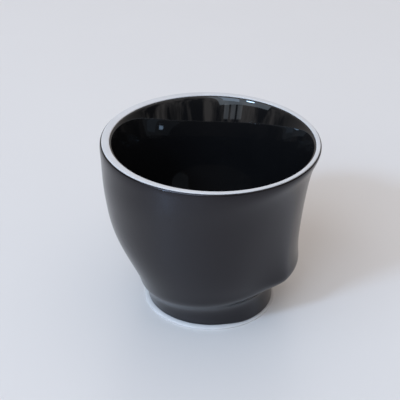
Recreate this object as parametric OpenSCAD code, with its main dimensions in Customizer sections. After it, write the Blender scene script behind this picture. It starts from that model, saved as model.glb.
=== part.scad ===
// Small porcelain sake cup with a swaying wall.
// The outside changes its profile round the cup: on the high side (-X) it is a bowl that is
// full just under the lip, and on the low side (+X) it flares at the lip, runs in at the
// waist and is full just above the foot. The hollow is nearly round and flares at its
// mouth, so the wall is thin at the lip and thick below it. The foot is a plain round ring.
// The cup is one fired piece of white porcelain. A satin black coat covers its outside, a
// glossy black coat its hollow and a third coat the well under the foot. The lip, the toe
// of the foot and the foot's resting face are bare.
// The origin is on the table, under the middle of the lip. The front is -Y.

/* [Cup] */
// Height from the table to the top of the lip
cup_h = 59; // [50:0.5:75]
// Diameter across the lip, over the outer coat
rim_d = 70; // [62:0.5:90]
// How far the foot stands off the axis of the lip, towards the low side
foot_off = 0.7; // [0:0.1:1.5]
// Direction of the low side, turned from +X towards the front
low_side_turn = 12; // [-30:1:30]
// Depth of the edges of the coats below the top of the lip
lip_drop = 0.3; // [0.2:0.05:0.6]

/* [Wall] */
// Mean width of the bare lip
lip_w = 1.95; // [1.7:0.05:3]
// Offset of the mouth towards the low side, which thickens the lip on the high side
mouth_off_x = 0.6; // [0:0.05:0.7]
// Offset of the mouth towards the front, which thickens the lip at the back
mouth_off_y = 0.5; // [0:0.05:0.7]
// Rounding of the mouth's edge
mouth_round = 0.65; // [0.3:0.05:0.8]
// Thickness of the wall where it is thinnest, round the waist of the low side
wall_t = 2.6; // [2.2:0.1:3.4]
// Thickness of the low side's wall under the flare of the mouth
neck_t = 3.8; // [3:0.1:4.5]
// How much wider the flare is on the high side
flare_sway = 0.7; // [0:0.1:1]
// Thickness of the wall at the heel, where it turns into the floor
heel_t = 2.9; // [2.4:0.1:3.6]
// Thickness of the floor above the well
floor_t = 4.5; // [3:0.1:6]

/* [Foot] */
// Diameter of the foot over its coat
foot_d = 41.4; // [36:0.2:44]
// Height of the crease between foot and wall on the high side
crease_high_h = 4.65; // [3.5:0.05:6.5]
// Height of the crease between foot and wall on the low side
crease_low_h = 10.1; // [8:0.1:12]
// How far the crease draws in from the side of the foot
crease_in = 0.7; // [0.3:0.05:1]
// Half the height over which the crease is rounded
crease_round = 0.2; // [0.1:0.05:0.3]
// How far below the crease the foot has its full width
shoulder_h = 0.55; // [0.4:0.05:1.2]
// How far the bare toe stands out past the coat
toe_w = 1.3; // [0.4:0.1:1.6]
// Height of the bare toe
toe_h = 1; // [0.7:0.1:1.6]
// Width of the foot ring at the table, from the coat to the well
ring_w = 3.6; // [3:0.1:5]
// Depth of the well under the foot
well_h = 5; // [3:0.1:6]
// Rounding of the small edges of the foot ring
ring_round = 0.15; // [0.05:0.05:0.3]

/* [Coats] */
// Thickness of the black coats
coat_t = 0.3; // [0.2:0.05:0.4]
// Height above the table at which the coat of the well starts
well_coat_z = 1.2; // [0.8:0.1:2]

/* [Hidden] */

// Azimuth steps round the cup, and steps down each profile
around = 52;
wall_steps = 24;
hollow_steps = 12;
well_steps = 5;

rim_r = rim_d / 2;
foot_r = foot_d / 2;
lip_z = cup_h - lip_drop;
mouth_r = rim_r - coat_t - lip_w;
floor_z = well_h + floor_t;
well_r = foot_r - ring_w;

// Profile of the wall as points that pull a smooth curve, from lip to crease. Each is the
// share of the way from the crease out to the lip, and from the crease up to the lip.
high_wall_shares = [[1, 0.75], [0.93, 0.59], [0.83, 0.415], [0.274, 0.166], [0.173, 0.047]];
low_wall_shares = [[0.985, 0.975], [0.79, 0.85], [0.55, 0.225], [0.682, 0.131], [0.277, 0.044]];
// How fast the profile changes from the high side to the low side
sway_share = 0.9;
// Pull point of the hollow's neck, as a share of the way down the low side from the flare
// under its lip to its waist
neck_share = 0.33;
// Pull points of the hollow's floor, as shares of the radius of the mouth
floor_edge_share = 0.48;
floor_flat_share = 0.12;
// Pull points of the well: draft of its wall, and its ceiling, as shares of its radius
well_draft_share = 0.03;
well_mid_share = 0.5;
well_ceiling_share = 0.75;
well_flat_share = 0.2;
// Widths of the lip's rounded edges, as shares of its width and of the coats' drop
lip_round_shares = [[0, 0], [0.05, 0.77], [0.17, 1], [0.85, 1], [0.95, 0.77], [1, 0]];
// Outline of the toe, as shares of its width and height, from the coat to the table
toe_shares = [[0, 1], [0.6, 0.66], [0.93, 0.33], [1, 0.14]];

function mix(a, b, share) = a + (b - a) * share;
function low_share(az) = pow((1 + cos(az + low_side_turn)) / 2, sway_share);

// Smooth curve pulled by points: a uniform cubic spline that starts and ends on the first
// and last of them
function with_ends(pts) = let (n = len(pts))
    concat([2 * pts[0] - pts[1]], pts, [2 * pts[n - 1] - pts[n - 2]]);
function spline_at(q, i, t) =
    (pow(1 - t, 3) * q[i]
    + (3 * pow(t, 3) - 6 * pow(t, 2) + 4) * q[i + 1]
    + (3 * t + 3 * pow(t, 2) - 3 * pow(t, 3) + 1) * q[i + 2]
    + pow(t, 3) * q[i + 3]) / 6;
function spline(pts, steps) = let (q = with_ends(pts), spans = len(pts) - 1)
    [for (k = [0 : steps]) let (u = k / steps * spans, i = min(floor(u), spans - 1))
        spline_at(q, i, u - i)];

// Pull points moved sideways by d, to the left of the way they run. The first moves by
// d along first_way and the last along last_way.
function turned_left(v) = [-v[1], v[0]] / norm(v);
function moved(pts, d, first_way, last_way) = let (n = len(pts))
    [for (i = [0 : n - 1]) pts[i] + d * (
        i == 0 ? first_way
        : i == n - 1 ? last_way
        : turned_left(pts[i + 1] - pts[i - 1]))];

// Profile of the outer coat on each side and at one azimuth, from the lip down to the toe
function side_pts(shares, crease_h) = [
    [rim_r, lip_z],
    for (s = shares) [mix(foot_r, rim_r, s[0]), mix(crease_h, lip_z, s[1])],
    [foot_r - crease_in, crease_h + crease_round],
    [foot_r - crease_in, crease_h - crease_round],
    [foot_r, crease_h - shoulder_h],
    [foot_r, toe_h]];
high_side = side_pts(high_wall_shares, crease_high_h);
low_side = side_pts(low_wall_shares, crease_low_h);
function coat_pts(az) = mix(high_side, low_side, low_share(az));
// The porcelain under that coat
function wall_pts(az) = moved(coat_pts(az), -coat_t, [1, 0], [1, 0]);

// Profile of the porcelain in the hollow, from the lip down to the floor. All round, it
// lies inside the flare and the waist of the low side and the heel of the high side.
function hollow_pts(az) = let (
    flare = low_side[2],
    waist = low_side[3],
    neck = mix(flare, waist, neck_share),
    heel = high_side[4])
    [[mouth_r, lip_z],
    [mouth_r - mouth_round, lip_z - mouth_round],
    [flare[0] - coat_t - wall_t + flare_sway * (1 - low_share(az)), flare[1]],
    [neck[0] - coat_t - neck_t, neck[1]],
    [waist[0] - coat_t - wall_t, waist[1]],
    [heel[0] - coat_t - heel_t, heel[1] + heel_t / 2],
    [mouth_r * floor_edge_share, floor_z],
    [mouth_r * floor_flat_share, floor_z]];
// The glossy coat on it
function hollow_coat_pts(az) = moved(hollow_pts(az), -coat_t, [1, 0], [0, -1]);

// Profile of the porcelain in the well, from its mouth up to its ceiling
function well_pts() = [
    [well_r, well_coat_z],
    [well_r * (1 - well_draft_share), mix(well_coat_z, well_h, well_mid_share)],
    [well_r * (1 - well_draft_share), well_h],
    [well_r * well_ceiling_share, well_h],
    [well_r * well_flat_share, well_h]];
function well_coat_pts() = moved(well_pts(), coat_t, [-1, 0], [0, -1]);

// A profile's point set round its middle: the foot's axis, the wall, whose middle goes
// from the foot's axis to the lip's, and the hollow, which is off the wall's middle by a
// part that fades to nothing at the floor
function round_mid(p, az, mid_x) = [p[0] * cos(az) + mid_x, p[0] * sin(az), p[1]];
function on_foot(p, az) = round_mid(p, az, foot_off);
function on_wall(p, az) =
    round_mid(p, az, foot_off * min(1, (lip_z - p[1]) / (lip_z - toe_h)));
function in_hollow(p, az) = let (fade = max(0, p[1] - floor_z) / (cup_h - floor_z))
    on_wall(p, az) + fade * [mouth_off_x, -mouth_off_y, 0];

function azimuths() = [for (j = [0 : around - 1]) 360 * j / around];
function reversed(a) = [for (i = [len(a) - 1 : -1 : 0]) a[i]];
// Profiles listed by azimuth, turned into rings listed by step
function rings(profiles) = [for (k = [0 : len(profiles[0]) - 1]) [for (p = profiles) p[k]]];

wall_rings = rings([for (az = azimuths())
    [for (p = spline(wall_pts(az), wall_steps)) on_wall(p, az)]]);
coat_rings = rings([for (az = azimuths())
    [for (p = spline(coat_pts(az), wall_steps)) on_wall(p, az)]]);
hollow_rings = rings([for (az = azimuths())
    [for (p = spline(hollow_pts(az), hollow_steps)) in_hollow(p, az)]]);
hollow_coat_rings = rings([for (az = azimuths())
    [for (p = spline(hollow_coat_pts(az), hollow_steps)) in_hollow(p, az)]]);
well_rings = rings([for (az = azimuths())
    [for (p = spline(well_pts(), well_steps)) on_foot(p, az)]]);
well_coat_rings = rings([for (az = azimuths())
    [for (p = spline(well_coat_pts(), well_steps)) on_foot(p, az)]]);

// Bare lip, from the edge of the outer coat over to the edge of the inner coat
lip_rings = [for (s = lip_round_shares)
    [for (j = [0 : around - 1]) let (
        a = wall_rings[0][j],
        b = hollow_rings[0][j],
        p = mix(a, b, s[0]))
        [p[0], p[1], mix(lip_z, cup_h, s[1])]]];

// Bare toe and resting face, from the coat down and in to the well
toe_rings = rings([for (az = azimuths()) concat(
    [for (s = toe_shares) on_foot([foot_r + toe_w * s[0], toe_h * s[1]], az)],
    [on_foot([foot_r + toe_w - ring_round, 0], az),
    on_foot([well_r + ring_round, 0], az),
    on_foot([well_r, ring_round], az)])]);

// Closed skin over rings of points. The rings run up the outside, over the top and down
// the inside. With wrap the last ring joins the first, and otherwise both end flat.
module skin(rings, wrap = false) {
    n = len(rings[0]);
    m = len(rings);
    sides = [for (i = [0 : m - (wrap ? 1 : 2)], j = [0 : n - 1])
        let (a = i * n + j,
            b = i * n + (j + 1) % n,
            c = ((i + 1) % m) * n + (j + 1) % n,
            d = ((i + 1) % m) * n + j)
        each [[a, c, b], [a, d, c]]];
    ends = wrap ? [] : [
        [for (j = [0 : n - 1]) j],
        [for (j = [n - 1 : -1 : 0]) (m - 1) * n + j]];
    polyhedron([for (ring = rings) each ring], concat(sides, ends));
}

module porcelain_body() {
    color("whitesmoke") skin(concat(
        reversed(well_rings),
        reversed(toe_rings),
        reversed(wall_rings),
        [for (k = [1 : len(lip_rings) - 2]) lip_rings[k]],
        hollow_rings));
}

module outer_glaze() {
    color("dimgray") skin(concat(reversed(coat_rings), wall_rings), wrap = true);
}

module inner_glaze() {
    color("black") skin(concat(reversed(hollow_rings), hollow_coat_rings));
}

module foot_well_glaze() {
    color("darkslategray") skin(concat(reversed(well_coat_rings), well_rings));
}

porcelain_body();
outer_glaze();
inner_glaze();
foot_well_glaze();
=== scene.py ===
import math

import bpy
import numpy as np
from mathutils import Matrix, Quaternion, Vector


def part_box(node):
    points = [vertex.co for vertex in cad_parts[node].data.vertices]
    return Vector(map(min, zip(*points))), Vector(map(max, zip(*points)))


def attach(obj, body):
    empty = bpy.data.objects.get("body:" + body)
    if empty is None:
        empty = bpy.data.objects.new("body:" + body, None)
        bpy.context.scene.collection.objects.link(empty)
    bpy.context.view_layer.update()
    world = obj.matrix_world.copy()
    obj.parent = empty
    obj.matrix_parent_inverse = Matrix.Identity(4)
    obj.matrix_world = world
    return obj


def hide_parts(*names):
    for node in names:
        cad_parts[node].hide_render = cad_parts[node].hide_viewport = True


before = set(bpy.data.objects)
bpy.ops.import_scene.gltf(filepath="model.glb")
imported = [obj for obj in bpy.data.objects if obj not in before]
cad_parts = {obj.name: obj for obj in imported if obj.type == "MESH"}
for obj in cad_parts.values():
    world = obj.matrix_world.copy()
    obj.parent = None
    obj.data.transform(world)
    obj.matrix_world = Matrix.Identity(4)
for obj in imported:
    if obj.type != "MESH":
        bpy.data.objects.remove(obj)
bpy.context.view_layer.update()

# Looks of a small porcelain sake cup. The CAD nodes are coarse lofts, so each has a smooth
# piece here, made from the same profiles at many more azimuths, with rounded coat edges.
# Lengths are in metres. The front is -Y, the high side is -X and the low side is +X.
MM = 0.001

# Driving sizes of the cup, as in the CAD source
CUP_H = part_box("porcelain_body")[1].z
RIM_R = 35 * MM
FOOT_OFF = 0.7 * MM
LOW_SIDE_TURN = math.radians(12)
LIP_DROP = 0.3 * MM
LIP_W = 1.95 * MM
MOUTH_OFF = Vector((0.6, -0.5)) * MM
MOUTH_ROUND = 0.65 * MM
WALL_T = 2.6 * MM
NECK_T = 3.8 * MM
FLARE_SWAY = 0.7 * MM
HEEL_T = 2.9 * MM
FLOOR_T = 4.5 * MM
FOOT_R = 20.7 * MM
CREASE_HIGH_H = 4.65 * MM
CREASE_LOW_H = 10.1 * MM
TOE_W = 1.3 * MM
TOE_H = 1 * MM
RING_W = 3.6 * MM
WELL_H = 5 * MM
RING_ROUND = 0.15 * MM
COAT_T = 0.3 * MM
WELL_COAT_Z = 1.2 * MM

# Finer forms than the CAD source has. In front and behind, the belly runs straighter down to
# a tighter heel, and the foot flares up to it in a soft fillet. Their pull points are given as
# out from the foot and up from the crease.
BELLY_IN = 1.5 * MM
HEEL_TOP = (5.1 * MM, 6.9 * MM)
HEEL_TURN = (3.7 * MM, 2.9 * MM)
FILLET = [(2.5 * MM, 1.2 * MM), (1.6 * MM, -0.3 * MM), (0.75 * MM, -2.4 * MM)]
# How far the heel's crown stands off the middle of its top and its turn
HEEL_CROWN = (0.1 * MM, -0.5 * MM)
# Share of the fillet that the left and right sides keep
SIDE_SHARE = 0.3
# Sines of the azimuth between which the right side takes on the heel of the front
RIGHT_HEEL_SINES = (0.5, 0.9)
# At the right, the outer coat runs down over this share of the toe, in full out to the first
# azimuth and not at all past the second.
COVER_SHARE = 0.42
COVER_FULL = math.radians(50)
COVER_END = math.radians(78)
# The wall stands out by up to this much under the lip, most at this far down.
LIP_ROLL = 0.3 * MM
LIP_ROLL_H = 1.8 * MM

LIP_Z = CUP_H - LIP_DROP
MOUTH_R = RIM_R - COAT_T - LIP_W
FLOOR_Z = WELL_H + FLOOR_T
WELL_R = FOOT_R - RING_W

# Pull points of the profiles, as shares, as in the CAD source. HEEL is the number of the last
# of the wall's points, where the lip's own is number 0.
HIGH_WALL_SHARES = [(1, 0.75), (0.93, 0.59), (0.83, 0.415), (0.274, 0.166), (0.173, 0.047)]
LOW_WALL_SHARES = [(0.985, 0.975), (0.79, 0.85), (0.55, 0.225), (0.682, 0.131), (0.277, 0.044)]
HEEL = len(HIGH_WALL_SHARES)
SWAY_SHARE = 0.9
NECK_SHARE = 0.33
FLOOR_EDGE_SHARE = 0.48
FLOOR_FLAT_SHARE = 0.12
WELL_DRAFT_SHARE = 0.03
WELL_MID_SHARE = 0.5
WELL_CEILING_SHARE = 0.75
WELL_FLAT_SHARE = 0.2

# Pull points of the toe's shoulder and corner, as shares of the way out and of its height
TOE_SHOULDER = (0.35, 0.95)
TOE_CORNER = (0.95, 0.55)

# Fineness of the meshes. The ends of a coat's rows crowd together towards its edges.
AROUND = 240
WALL_STEPS = 110
HOLLOW_STEPS = 100
WELL_STEPS = 40
LIP_STEPS = 28
TOE_STEPS = 24
POLE_STEPS = 6
EDGE_STEPS = 8
EDGE_SHARE = 0.012
EDGE_CROWDING = 1.5

# Radius to which the edges of the coats are rounded, how deep their undersides lie in the
# body, and how far the edges wander, in waves of a number round the cup and a height
COAT_EDGE_R = 0.34 * MM
COAT_SINK = 0.03 * MM
LIP_WANDER = 0.05 * MM
FOOT_WANDER = 0.12 * MM
WANDER_WAVES = [(3, 1), (5, 0.8), (8, 0.5), (13, 0.35), (21, 0.2)]
# Power of the rounded square that the lip's top follows
LIP_SQUARENESS = 4.5

# Camera of the photograph, for an image as wide as it is high
LENS_MM = 103.5
SENSOR_MM = 36
CAMERA_AT = Vector((0.7, -323.88, 227.4)) * MM
CAMERA_LOOKS_AT = Vector((-3.08, 0, 36.3)) * MM
CAMERA_ROLL = math.radians(1.14)
CAMERA_CLIP = (0.01, 20)

# Colours, as linear red, green and blue. Clouds run between two of them.
SATIN_CLOUDS = [(0.0015, 0.0015, 0.002), (0.0022, 0.0022, 0.0028)]
SATIN_SPECKS = (0.05, 0.05, 0.055)
SATIN_SHEEN = (0.97, 0.92, 1)
GLOSS_CLOUDS = [(0.004, 0.004, 0.0045), (0.0055, 0.0055, 0.006)]
PORCELAIN_CLOUDS = [(0.55, 0.53, 0.52), (0.59, 0.57, 0.56)]
PORCELAIN_SPECKS = (0.36, 0.34, 0.32)
FLOOR_CLOUDS = [(0.685, 0.653, 0.632), (0.705, 0.672, 0.65)]
PALE_BACKDROP = (0.67, 0.69, 0.745)

# Roughness of the surfaces, from their smoother to their rougher places
SATIN_ROUGHNESS = (0.19, 0.23)
GLOSS_ROUGHNESS = (0.03, 0.06)
PORCELAIN_ROUGHNESS = (0.45, 0.6)
FLOOR_ROUGHNESS = 0.36
FLOOR_SPECULAR = 0.85
SATIN_IOR = 1.47
GLASS_IOR = 1.5

# Levels of noise between which a cloud goes from its one end to its other
SHARP_CLOUD = (0.3, 0.7)
SOFT_CLOUD = (0.25, 0.75)
# Share of a speck's width that is all of its colour, before it fades
SPECK_CORE = 0.6

# Stage and lamps
FLOOR_REACH = 4
LAMP_DISTANCE = 3
WINDOW_COLOUR = (0.68, 1, 1.45)
TALL_COLOUR = (0.74, 1, 1.36)
CURTAIN_COLOUR = (0.84, 1, 1.18)
PANE_COLOUR = (0.89, 1, 1.12)
# The low panes stand in a row, given in degrees as the other lamps are.
PANES = 3
FIRST_PANE_AZ = -106
PANE_STEP = 8
PANE_EL = 15

# Radiance of the room, where 1 just reaches white: all round, and what is added overhead, by a
# power of the height, and behind. The front blends into the back over this much.
ROOM_COLOUR = (1.06, 1, 0.97)
ROOM_FRONT = 0.14
ROOM_ABOVE = 0.65
ROOM_BEHIND = 0.5
OVERHEAD_POWER = 3
FRONT_BLEND = 0.1
# Stripes in front: their size, how fast they change with height, the levels of noise at their
# edges, and how much they dim or brighten the room
STRIPE_SIZE = 0.25
STRIPE_TILT = 0.2
STRIPE_EDGES = (0.45, 0.62)
STRIPE_RANGE = (0.2, 4)


def mix(a, b, share):
    return a + (b - a) * share


def low_share(az):
    """How much of the low side's profile an azimuth has, from 0 to 1."""
    return ((1 + math.cos(az + LOW_SIDE_TURN)) / 2) ** SWAY_SHARE


def smooth_step(start, end, value):
    """0 up to the start, 1 from the end on, and a smooth rise between them."""
    share = min(1, max(0, (value - start) / (end - start)))
    return share * share * (3 - 2 * share)


def toe_cover(az):
    """How far the outer coat runs down over the toe, from 0 on the left to most at the right."""
    return COVER_SHARE * smooth_step(math.cos(COVER_END), math.cos(COVER_FULL), math.cos(az))


def spline(points, shares):
    """Smooth curve that the points pull, a uniform cubic spline from the first to the last."""
    p = np.asarray(points, float)
    q = np.concatenate([[2 * p[0] - p[1]], p, [2 * p[-1] - p[-2]]])
    spans = len(p) - 1
    u = np.asarray(shares) * spans
    i = np.minimum(u.astype(int), spans - 1)
    t = (u - i)[:, None]
    return (
        (1 - t) ** 3 * q[i]
        + (3 * t**3 - 6 * t**2 + 4) * q[i + 1]
        + (3 * t + 3 * t**2 - 3 * t**3 + 1) * q[i + 2]
        + t**3 * q[i + 3]
    ) / 6


def moved(points, d, first_way, last_way):
    """Points moved sideways by d, to the left of the way they run."""
    out = []
    for i, p in enumerate(points):
        if i == 0:
            way = np.array(first_way, float)
        elif i == len(points) - 1:
            way = np.array(last_way, float)
        else:
            along = points[i + 1] - points[i - 1]
            way = np.array([-along[1], along[0]]) / np.linalg.norm(along)
        out.append(p + d * way)
    return out


def side_points(shares, crease_h):
    """Pull points of the outer coat on one side, as radius and height, from lip to toe."""
    belly = [(mix(FOOT_R, RIM_R, s), mix(crease_h, LIP_Z, t)) for s, t in shares]
    foot = [(FOOT_R, crease_h + up) for _, up in FILLET]
    return np.array([(RIM_R, LIP_Z)] + belly + foot + [(FOOT_R, TOE_H)])


HIGH_SIDE = side_points(HIGH_WALL_SHARES, CREASE_HIGH_H)
LOW_SIDE = side_points(LOW_WALL_SHARES, CREASE_LOW_H)


def front_heel_share(az):
    """How much of the front's straighter belly and tighter heel an azimuth has, from 0 to 1."""
    if math.cos(az) > 0:
        return smooth_step(*RIGHT_HEEL_SINES, abs(math.sin(az)))
    return math.sin(az) ** 2


def coat_points(az):
    """Pull points of the outer coat at an azimuth, with the tighter heel and the fillet."""
    points = mix(HIGH_SIDE, LOW_SIDE, low_share(az))
    front_share = front_heel_share(az)
    flare = mix(SIDE_SHARE, 1, abs(math.sin(az)))
    crease = np.array([FOOT_R, mix(CREASE_HIGH_H, CREASE_LOW_H, low_share(az))])
    points[HEEL - 2, 0] -= BELLY_IN * front_share
    points[HEEL - 1] = mix(points[HEEL - 1], crease + HEEL_TOP, front_share)
    points[HEEL] = mix(points[HEEL], crease + HEEL_TURN, front_share)
    points[HEEL + 1:-1, 0] += np.array([out for out, _ in FILLET]) * flare
    crown = mix(points[HEEL - 1], points[HEEL], 0.5) + np.array(HEEL_CROWN) * front_share
    points[-1] += np.array([TOE_W, RING_ROUND - TOE_H]) * toe_cover(az)
    return np.insert(points, HEEL, crown, axis=0)


def wall_points(az):
    """Pull points of the porcelain wall, which lies a coat's thickness inside the coat."""
    return moved(coat_points(az), -COAT_T, (1, 0), (1, 0))


def hollow_points(az):
    """Pull points of the hollow, inside the low side's flare and waist and the high heel."""
    flare, waist, heel = LOW_SIDE[2], LOW_SIDE[3], HIGH_SIDE[4]
    neck = mix(flare, waist, NECK_SHARE)
    sway = FLARE_SWAY * (1 - low_share(az))
    return [
        np.array(p)
        for p in (
            (MOUTH_R, LIP_Z),
            (MOUTH_R - MOUTH_ROUND, LIP_Z - MOUTH_ROUND),
            (flare[0] - COAT_T - WALL_T + sway, flare[1]),
            (neck[0] - COAT_T - NECK_T, neck[1]),
            (waist[0] - COAT_T - WALL_T, waist[1]),
            (heel[0] - COAT_T - HEEL_T, heel[1] + HEEL_T / 2),
            (MOUTH_R * FLOOR_EDGE_SHARE, FLOOR_Z),
            (MOUTH_R * FLOOR_FLAT_SHARE, FLOOR_Z),
        )
    ]


def hollow_coat_points(az):
    return moved(hollow_points(az), -COAT_T, (1, 0), (0, -1))


def toe_points(az):
    """Pull points of the bare toe, which shrinks where the coat runs down over it."""
    toe_r = FOOT_R + TOE_W
    inner = FOOT_R + TOE_W * toe_cover(az)
    top = mix(TOE_H, RING_ROUND, toe_cover(az))
    return [
        (inner - COAT_T, top),
        (mix(inner, toe_r, TOE_SHOULDER[0]), top * TOE_SHOULDER[1]),
        (mix(inner, toe_r, TOE_CORNER[0]), mix(RING_ROUND, top, TOE_CORNER[1])),
        (toe_r, min(RING_ROUND, top / 2)),
        (toe_r - RING_ROUND, 0),
    ]


def well_points():
    """Pull points of the well under the foot, from its coat's edge up to its ceiling."""
    drafted = WELL_R * (1 - WELL_DRAFT_SHARE)
    return [
        np.array(p)
        for p in (
            (WELL_R, WELL_COAT_Z),
            (drafted, mix(WELL_COAT_Z, WELL_H, WELL_MID_SHARE)),
            (drafted, WELL_H),
            (WELL_R * WELL_CEILING_SHARE, WELL_H),
            (WELL_R * WELL_FLAT_SHARE, WELL_H),
        )
    ]


def well_coat_points():
    return moved(well_points(), COAT_T, (-1, 0), (0, -1))


def round_middle(profile, az, middle_x):
    """A profile of radii and heights, stood at an azimuth round a middle."""
    r, z = profile[:, 0], profile[:, 1]
    return np.stack([r * math.cos(az) + middle_x, r * math.sin(az), z], 1)


def on_foot(profile, az):
    return round_middle(profile, az, FOOT_OFF)


def leaned(profile, az):
    """A profile that stands round the foot's middle at the toe and round the lip's at the lip."""
    lean = FOOT_OFF * np.clip((LIP_Z - profile[:, 1]) / (LIP_Z - TOE_H), 0, 1)
    return round_middle(profile, az, lean)


def on_wall(profile, az):
    """A profile of the outer wall in its place, rounded over towards the lip."""
    rolled = np.array(profile)
    down = np.maximum(LIP_Z - rolled[:, 1], 0) / LIP_ROLL_H
    rolled[:, 0] += LIP_ROLL * down * np.exp(1 - down)
    return leaned(rolled, az)


def in_hollow(profile, az):
    """A profile of the hollow in its place, moved aside more and more towards the mouth."""
    fade = np.maximum(0, profile[:, 1] - FLOOR_Z) / (CUP_H - FLOOR_Z)
    return leaned(profile, az) + fade[:, None] * np.array([MOUTH_OFF.x, MOUTH_OFF.y, 0])


AZIMUTHS = np.arange(AROUND) * 2 * math.pi / AROUND


def wander(az, amount, phase):
    """A slow uneven line round the cup, from 0 to amount."""
    total = sum(h * math.sin(n * az + phase * n * n) for n, h in WANDER_WAVES)
    return amount * (0.5 + 0.5 * total / sum(h for _, h in WANDER_WAVES))


def dense_ends(count):
    """Shares from 0 to 1 that crowd together at both ends."""
    near = EDGE_SHARE * (np.arange(EDGE_STEPS) / EDGE_STEPS) ** EDGE_CROWDING
    middle = np.linspace(EDGE_SHARE, 1 - EDGE_SHARE, count)
    return np.concatenate([near, middle, 1 - near[::-1]])


def rings(profiles):
    """Profiles listed by azimuth, turned into rings listed by step."""
    return np.swapaxes(np.array(profiles), 0, 1)


def coat_pair(inner_points, outer_points, place, count, start_at, end_at=None):
    """Rings of a coat's skin and of the face under it. At each azimuth the coat starts at one
    distance from the first point and ends at another from the last one, and it thins to a
    round edge there. With no end_at it has no edge at its end."""
    skin, under = [], []
    for az in AZIMUTHS:
        inner, outer = np.array(inner_points(az)), np.array(outer_points(az))
        length = np.linalg.norm(np.diff(inner, axis=0), axis=1).sum()
        first = start_at(az) / length
        last = 1 - (end_at(az) / length if end_at else 0)
        shares = mix(first, last, dense_ends(count))
        a, b = spline(inner, shares), spline(outer, shares)
        run = np.concatenate([[0], np.cumsum(np.linalg.norm(np.diff(a, axis=0), axis=1))])
        from_edge = np.minimum(run, run[-1] - run) if end_at else run
        full = np.sqrt(1 - (1 - np.clip(from_edge / COAT_EDGE_R, 0, 1)) ** 2)[:, None]
        way = (b - a) / np.linalg.norm(b - a, axis=1)[:, None]
        skin.append(place(mix(a, b, full), az))
        under.append(place(a - way * COAT_SINK * full, az))
    return rings(skin), rings(under)


def to_pole(ring):
    """Rings that close the last ring of a skin over its middle, and that middle."""
    pole = ring.mean(0)
    shares = np.linspace(0, 1, POLE_STEPS + 1)[1:-1]
    return [mix(ring, pole, share) for share in shares], pole


def skin_mesh(name, ring_list, start_pole=None, end_pole=None, wrap=False):
    """A smooth closed mesh over rings of points, which may end in a pole or join up."""
    n, m = AROUND, len(ring_list)
    verts = [tuple(p) for ring in ring_list for p in ring]
    faces = []
    for i in range(m if wrap else m - 1):
        a, b = i * n, (i + 1) % m * n
        faces += [(a + j, a + (j + 1) % n, b + (j + 1) % n, b + j) for j in range(n)]
    if start_pole is not None:
        verts.append(tuple(start_pole))
        faces += [(len(verts) - 1, (j + 1) % n, j) for j in range(n)]
    if end_pole is not None:
        verts.append(tuple(end_pole))
        a = (m - 1) * n
        faces += [(len(verts) - 1, a + j, a + (j + 1) % n) for j in range(n)]
    mesh = bpy.data.meshes.new(name)
    mesh.from_pydata(verts, [], faces)
    mesh.validate()
    mesh.shade_smooth()
    piece = bpy.data.objects.new(name, mesh)
    bpy.context.scene.collection.objects.link(piece)
    return piece


def loft(points_at, place, steps):
    """Rings through the curves that the points at each azimuth pull, put in their place."""
    shares = np.linspace(0, 1, steps + 1)
    return rings([place(spline(points_at(az), shares), az) for az in AZIMUTHS])


def lip_rings(outer, inner):
    """Rings of the bare lip, a rounded square that rises between the wall and the hollow."""
    out = []
    for t in (1 - np.cos(np.linspace(0, math.pi, LIP_STEPS + 1)[1:-1])) / 2:
        rise = (1 - abs(2 * t - 1) ** LIP_SQUARENESS) ** (1 / LIP_SQUARENESS)
        ring = mix(outer, inner, t)
        ring[:, 2] = mix(LIP_Z, CUP_H, rise)
        out.append(ring)
    return out


def ring_edge_rings():
    """Rings of the resting face's inner edge, which is rounded up into the well."""
    edge = [
        (WELL_R + RING_ROUND, 0),
        (WELL_R + RING_ROUND / 4, RING_ROUND / 4),
        (WELL_R, RING_ROUND),
    ]
    return list(rings([on_foot(np.array(edge), az) for az in AZIMUTHS]))


def make_porcelain():
    """The fired body: well, resting ring, toe, wall, lip and hollow in one closed skin."""
    wall = loft(wall_points, on_wall, WALL_STEPS)
    hollow = loft(hollow_points, in_hollow, HOLLOW_STEPS)
    well = loft(lambda az: well_points(), on_foot, WELL_STEPS)
    toe = list(loft(toe_points, on_foot, TOE_STEPS)) + ring_edge_rings()
    well_cap, well_pole = to_pole(well[-1])
    floor_cap, floor_pole = to_pole(hollow[-1])
    under = list(reversed(well_cap)) + list(reversed(well)) + list(reversed(toe))
    side = list(reversed(wall)) + lip_rings(wall[0], hollow[0])
    ring_list = under + side + list(hollow) + floor_cap
    return skin_mesh("porcelain", ring_list, start_pole=well_pole, end_pole=floor_pole)


def make_satin_coat():
    """The outer coat, from just under the lip down to the toe or over its edge."""
    skin, under = coat_pair(
        wall_points, coat_points, on_wall, WALL_STEPS,
        lambda az: wander(az, LIP_WANDER, 1), lambda az: wander(az, FOOT_WANDER, 2))
    return skin_mesh("satin_coat", list(reversed(skin)) + list(under), wrap=True)


def make_gloss_coat():
    """The hollow's coat, from the lip's inner edge down over the floor."""
    skin, under = coat_pair(
        hollow_points, hollow_coat_points, in_hollow, HOLLOW_STEPS,
        lambda az: wander(az, LIP_WANDER, 3))
    cap, pole = to_pole(skin[-1])
    under_cap, under_pole = to_pole(under[-1])
    ring_list = list(reversed(under_cap)) + list(reversed(under)) + list(skin) + cap
    return skin_mesh("gloss_coat", ring_list, start_pole=under_pole, end_pole=pole)


def make_well_coat():
    """The coat of the well under the foot, with its bare band over the resting ring."""
    skin, under = coat_pair(
        lambda az: well_points(), lambda az: well_coat_points(), on_foot, WELL_STEPS,
        lambda az: wander(az, FOOT_WANDER, 4))
    cap, pole = to_pole(skin[-1])
    under_cap, under_pole = to_pole(under[-1])
    ring_list = list(reversed(cap)) + list(reversed(skin)) + list(under) + under_cap
    return skin_mesh("well_coat", ring_list, start_pole=pole, end_pole=under_pole)


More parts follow.
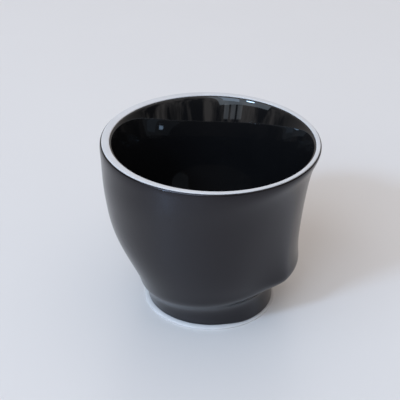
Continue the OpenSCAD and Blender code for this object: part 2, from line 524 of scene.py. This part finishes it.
def new_material(name):
    """A node material: its tree, its shader, and the object's own coordinates in metres."""
    material = bpy.data.materials.new(name)
    material.use_nodes = True
    tree = material.node_tree
    coordinates = tree.nodes.new("ShaderNodeTexCoord")
    return material, tree, tree.nodes["Principled BSDF"], coordinates.outputs["Object"]


def add_noise(tree, place, size, detail=2, roughness=0.5):
    """Soft noise from 0 to 1 with patches about size metres across."""
    noise = tree.nodes.new("ShaderNodeTexNoise")
    noise.inputs["Scale"].default_value = 1 / size
    noise.inputs["Detail"].default_value = detail
    noise.inputs["Roughness"].default_value = roughness
    tree.links.new(place, noise.inputs["Vector"])
    return noise.outputs["Fac"]


def add_range(tree, value, taken, given):
    """The value, mapped from the range taken to the range given and held inside that."""
    node = tree.nodes.new("ShaderNodeMapRange")
    tree.links.new(value, node.inputs["Value"])
    for socket, number in zip(node.inputs[1:5], (*taken, *given)):
        socket.default_value = number
    return node.outputs["Result"]


def add_specks(tree, place, spacing, size, share):
    """Dots about size metres across, on a share of the cells of a grid of that spacing."""
    cells = tree.nodes.new("ShaderNodeTexVoronoi")
    cells.inputs["Scale"].default_value = 1 / spacing
    tree.links.new(place, cells.inputs["Vector"])
    radius = size / 2 / spacing
    dot = add_range(tree, cells.outputs["Distance"], (SPECK_CORE * radius, radius), (1, 0))
    picked = tree.nodes.new("ShaderNodeMath")
    picked.operation = "LESS_THAN"
    picked.inputs[1].default_value = share
    tree.links.new(cells.outputs["Color"], picked.inputs[0])
    both = tree.nodes.new("ShaderNodeMath")
    both.operation = "MULTIPLY"
    tree.links.new(dot, both.inputs[0])
    tree.links.new(picked.outputs[0], both.inputs[1])
    return both.outputs[0]


def add_mix(tree, factor, a, b):
    """A colour between a and b, either of which may be a colour or another node's output."""
    node = tree.nodes.new("ShaderNodeMix")
    node.data_type = "RGBA"
    tree.links.new(factor, node.inputs["Factor"])
    for socket, colour in ((node.inputs[6], a), (node.inputs[7], b)):
        if isinstance(colour, tuple):
            socket.default_value = (*colour, 1)
        else:
            tree.links.new(colour, socket)
    return node.outputs[2]


def add_bump(tree, height, depth, before=None):
    """A bump of that depth in metres, over the bump before it."""
    bump = tree.nodes.new("ShaderNodeBump")
    bump.inputs["Distance"].default_value = depth
    tree.links.new(height, bump.inputs["Height"])
    if before is not None:
        tree.links.new(before, bump.inputs["Normal"])
    return bump.outputs["Normal"]


def satin_black():
    """Semi-matt black glaze with a fine grain, slow changes of sheen and a few pale specks."""
    material, tree, shader, place = new_material("satin_black_glaze")
    cloud = add_noise(tree, place, size=9 * MM, detail=3)
    grain = add_noise(tree, place, size=0.35 * MM)
    slow = add_noise(tree, place, size=14 * MM, detail=1)
    specks = add_specks(tree, place, spacing=5 * MM, size=0.25 * MM, share=0.2)
    base = add_mix(tree, add_range(tree, cloud, SHARP_CLOUD, (0, 1)), *SATIN_CLOUDS)
    colour = add_mix(tree, specks, base, SATIN_SPECKS)
    tree.links.new(colour, shader.inputs["Base Color"])
    roughness = add_range(tree, cloud, SOFT_CLOUD, SATIN_ROUGHNESS)
    tree.links.new(roughness, shader.inputs["Roughness"])
    shader.inputs["IOR"].default_value = SATIN_IOR
    shader.inputs["Specular Tint"].default_value = (*SATIN_SHEEN, 1)
    waves = add_bump(tree, slow, depth=0.06 * MM)
    tooth = add_bump(tree, grain, depth=0.006 * MM, before=waves)
    tree.links.new(tooth, shader.inputs["Normal"])
    return material


def gloss_black():
    """Glossy black glaze, faintly wavy as it ran, with rare pinholes."""
    material, tree, shader, place = new_material("gloss_black_glaze")
    cloud = add_noise(tree, place, size=7 * MM)
    slow = add_noise(tree, place, size=12 * MM, detail=1)
    pinholes = add_specks(tree, place, spacing=4 * MM, size=0.18 * MM, share=0.12)
    tree.links.new(add_mix(tree, cloud, *GLOSS_CLOUDS), shader.inputs["Base Color"])
    roughness = add_range(tree, cloud, SHARP_CLOUD, GLOSS_ROUGHNESS)
    tree.links.new(roughness, shader.inputs["Roughness"])
    shader.inputs["IOR"].default_value = GLASS_IOR
    waves = add_bump(tree, slow, depth=0.03 * MM)
    surface = add_range(tree, pinholes, (0, 1), (1, 0))
    dents = add_bump(tree, surface, depth=0.02 * MM, before=waves)
    tree.links.new(dents, shader.inputs["Normal"])
    return material


def bare_porcelain():
    """White fired porcelain, matt, with a fine tooth and faint warm and grey clouds."""
    material, tree, shader, place = new_material("white_porcelain")
    cloud = add_noise(tree, place, size=6 * MM, detail=3)
    tooth = add_noise(tree, place, size=0.25 * MM, detail=3)
    specks = add_specks(tree, place, spacing=3 * MM, size=0.16 * MM, share=0.15)
    base = add_mix(tree, add_range(tree, cloud, SHARP_CLOUD, (0, 1)), *PORCELAIN_CLOUDS)
    colour = add_mix(tree, specks, base, PORCELAIN_SPECKS)
    tree.links.new(colour, shader.inputs["Base Color"])
    roughness = add_range(tree, tooth, SHARP_CLOUD, PORCELAIN_ROUGHNESS)
    tree.links.new(roughness, shader.inputs["Roughness"])
    shader.inputs["IOR"].default_value = GLASS_IOR
    tree.links.new(add_bump(tree, tooth, depth=0.01 * MM), shader.inputs["Normal"])
    return material


def pale_floor():
    """The pale table top, half matt, with very faint clouds."""
    material, tree, shader, place = new_material("pale_floor")
    cloud = add_noise(tree, place, size=60 * MM)
    tree.links.new(add_mix(tree, cloud, *FLOOR_CLOUDS), shader.inputs["Base Color"])
    shader.inputs["Roughness"].default_value = FLOOR_ROUGHNESS
    shader.inputs["Specular IOR Level"].default_value = FLOOR_SPECULAR
    return material


def make_floor():
    """A flat table top, wide enough for every view."""
    reach = FLOOR_REACH
    corners = [(-reach, -reach, 0), (reach, -reach, 0), (reach, reach, 0), (-reach, reach, 0)]
    mesh = bpy.data.meshes.new("floor")
    mesh.from_pydata(corners, [], [(0, 1, 2, 3)])
    mesh.materials.append(pale_floor())
    floor = bpy.data.objects.new("floor", mesh)
    bpy.context.scene.collection.objects.link(floor)


def direction(az_deg, el_deg):
    """Unit vector to a light, at an azimuth from +X towards +Y and an elevation."""
    az, el = math.radians(az_deg), math.radians(el_deg)
    return Vector((math.cos(el) * math.cos(az), math.cos(el) * math.sin(az), math.sin(el)))


def add_softbox(name, place, span, radiance, colour):
    """A soft rectangular lamp that faces the cup. Its place is an azimuth and an elevation and
    its span a width and a height, as seen from the cup, all in degrees."""
    width, height = (2 * LAMP_DISTANCE * math.tan(math.radians(angle / 2)) for angle in span)
    light = bpy.data.lights.new(name, "AREA")
    light.shape = "RECTANGLE"
    light.size = width
    light.size_y = height
    light.energy = radiance * math.pi * width * height
    light.color = colour
    lamp = bpy.data.objects.new(name, light)
    way = direction(*place)
    lamp.location = way * LAMP_DISTANCE + Vector((0, 0, CUP_H / 2))
    lamp.rotation_euler = way.to_track_quat("Z", "Y").to_euler()
    lamp.visible_camera = False
    bpy.context.scene.collection.objects.link(lamp)


def add_math(tree, operation, a, b):
    """One step of arithmetic on numbers or other nodes' outputs."""
    node = tree.nodes.new("ShaderNodeMath")
    node.operation = operation
    for socket, value in zip(node.inputs, (a, b)):
        if isinstance(value, (int, float)):
            socket.default_value = value
        else:
            tree.links.new(value, socket)
    return node.outputs[0]


def add_room():
    """The room as the world: dim in front, lighter overhead and behind, with upright stripes
    where the hollow mirrors it. Seen straight by the camera it is as pale as the floor."""
    world = bpy.data.worlds.new("room")
    bpy.context.scene.world = world
    world.use_nodes = True
    tree = world.node_tree
    room = tree.nodes["Background"]
    ways = tree.nodes.new("ShaderNodeTexCoord").outputs["Generated"]
    split = tree.nodes.new("ShaderNodeSeparateXYZ")
    tree.links.new(ways, split.inputs[0])
    _, back, up = split.outputs

    flat = tree.nodes.new("ShaderNodeVectorMath")
    flat.operation = "MULTIPLY"
    flat.inputs[1].default_value = (1, 1, STRIPE_TILT)
    tree.links.new(ways, flat.inputs[0])
    stripes = add_noise(tree, flat.outputs[0], STRIPE_SIZE, detail=3, roughness=0.6)
    stripes = add_range(tree, stripes, STRIPE_EDGES, STRIPE_RANGE)
    front = add_range(tree, back, (-FRONT_BLEND, FRONT_BLEND), (1, 0))
    plain = add_math(tree, "SUBTRACT", 1, front)
    striped = add_math(tree, "ADD", plain, add_math(tree, "MULTIPLY", front, stripes))

    level = add_math(tree, "MULTIPLY", striped, ROOM_FRONT)
    overhead = add_math(tree, "POWER", add_math(tree, "MAXIMUM", up, 0), OVERHEAD_POWER)
    level = add_math(tree, "ADD", level, add_math(tree, "MULTIPLY", overhead, ROOM_ABOVE))
    behind = add_math(tree, "MULTIPLY", add_math(tree, "MAXIMUM", back, 0), ROOM_BEHIND)
    tree.links.new(add_math(tree, "ADD", level, behind), room.inputs["Strength"])
    room.inputs["Color"].default_value = (*ROOM_COLOUR, 1)

    pale = tree.nodes.new("ShaderNodeBackground")
    pale.inputs["Color"].default_value = (*PALE_BACKDROP, 1)
    either = tree.nodes.new("ShaderNodeMixShader")
    light_path = tree.nodes.new("ShaderNodeLightPath")
    tree.links.new(light_path.outputs["Is Camera Ray"], either.inputs[0])
    tree.links.new(room.outputs[0], either.inputs[1])
    tree.links.new(pale.outputs[0], either.inputs[2])
    tree.links.new(either.outputs[0], tree.nodes["World Output"].inputs["Surface"])


def light_scene():
    """A small bright window, a tall one and a wide curtain, over a row of low panes."""
    add_softbox("window", (-137, 38), span=(8, 7), radiance=58, colour=WINDOW_COLOUR)
    add_softbox("tall window", (-111, 42), span=(18, 30), radiance=2.2, colour=TALL_COLOUR)
    add_softbox("curtain", (-127, 45), span=(60, 48), radiance=1.65, colour=CURTAIN_COLOUR)
    for k in range(PANES):
        place = (FIRST_PANE_AZ - PANE_STEP * k, PANE_EL)
        add_softbox(f"pane {k + 1}", place, span=(5.5, 11), radiance=0.9, colour=PANE_COLOUR)
    add_room()


def add_camera():
    """The photograph's camera."""
    data = bpy.data.cameras.new("camera")
    data.lens, data.sensor_width = LENS_MM, SENSOR_MM
    data.clip_start, data.clip_end = CAMERA_CLIP
    camera = bpy.data.objects.new("camera", data)
    forward = CAMERA_LOOKS_AT - CAMERA_AT
    aim = forward.to_track_quat("-Z", "Y") @ Quaternion((0, 0, 1), CAMERA_ROLL)
    camera.matrix_world = Matrix.LocRotScale(CAMERA_AT, aim, None)
    bpy.context.scene.collection.objects.link(camera)
    bpy.context.scene.camera = camera


def dress(piece, material, node):
    """Give a piece its material, and let it stand for its CAD node on the root body."""
    piece.data.materials.append(material)
    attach(piece, "root")
    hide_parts(node)


add_camera()
satin = satin_black()
dress(make_porcelain(), bare_porcelain(), "porcelain_body")
dress(make_satin_coat(), satin, "outer_glaze")
dress(make_gloss_coat(), gloss_black(), "inner_glaze")
dress(make_well_coat(), satin, "foot_well_glaze")
make_floor()
light_scene()
bpy.context.scene.view_settings.view_transform = "Standard"
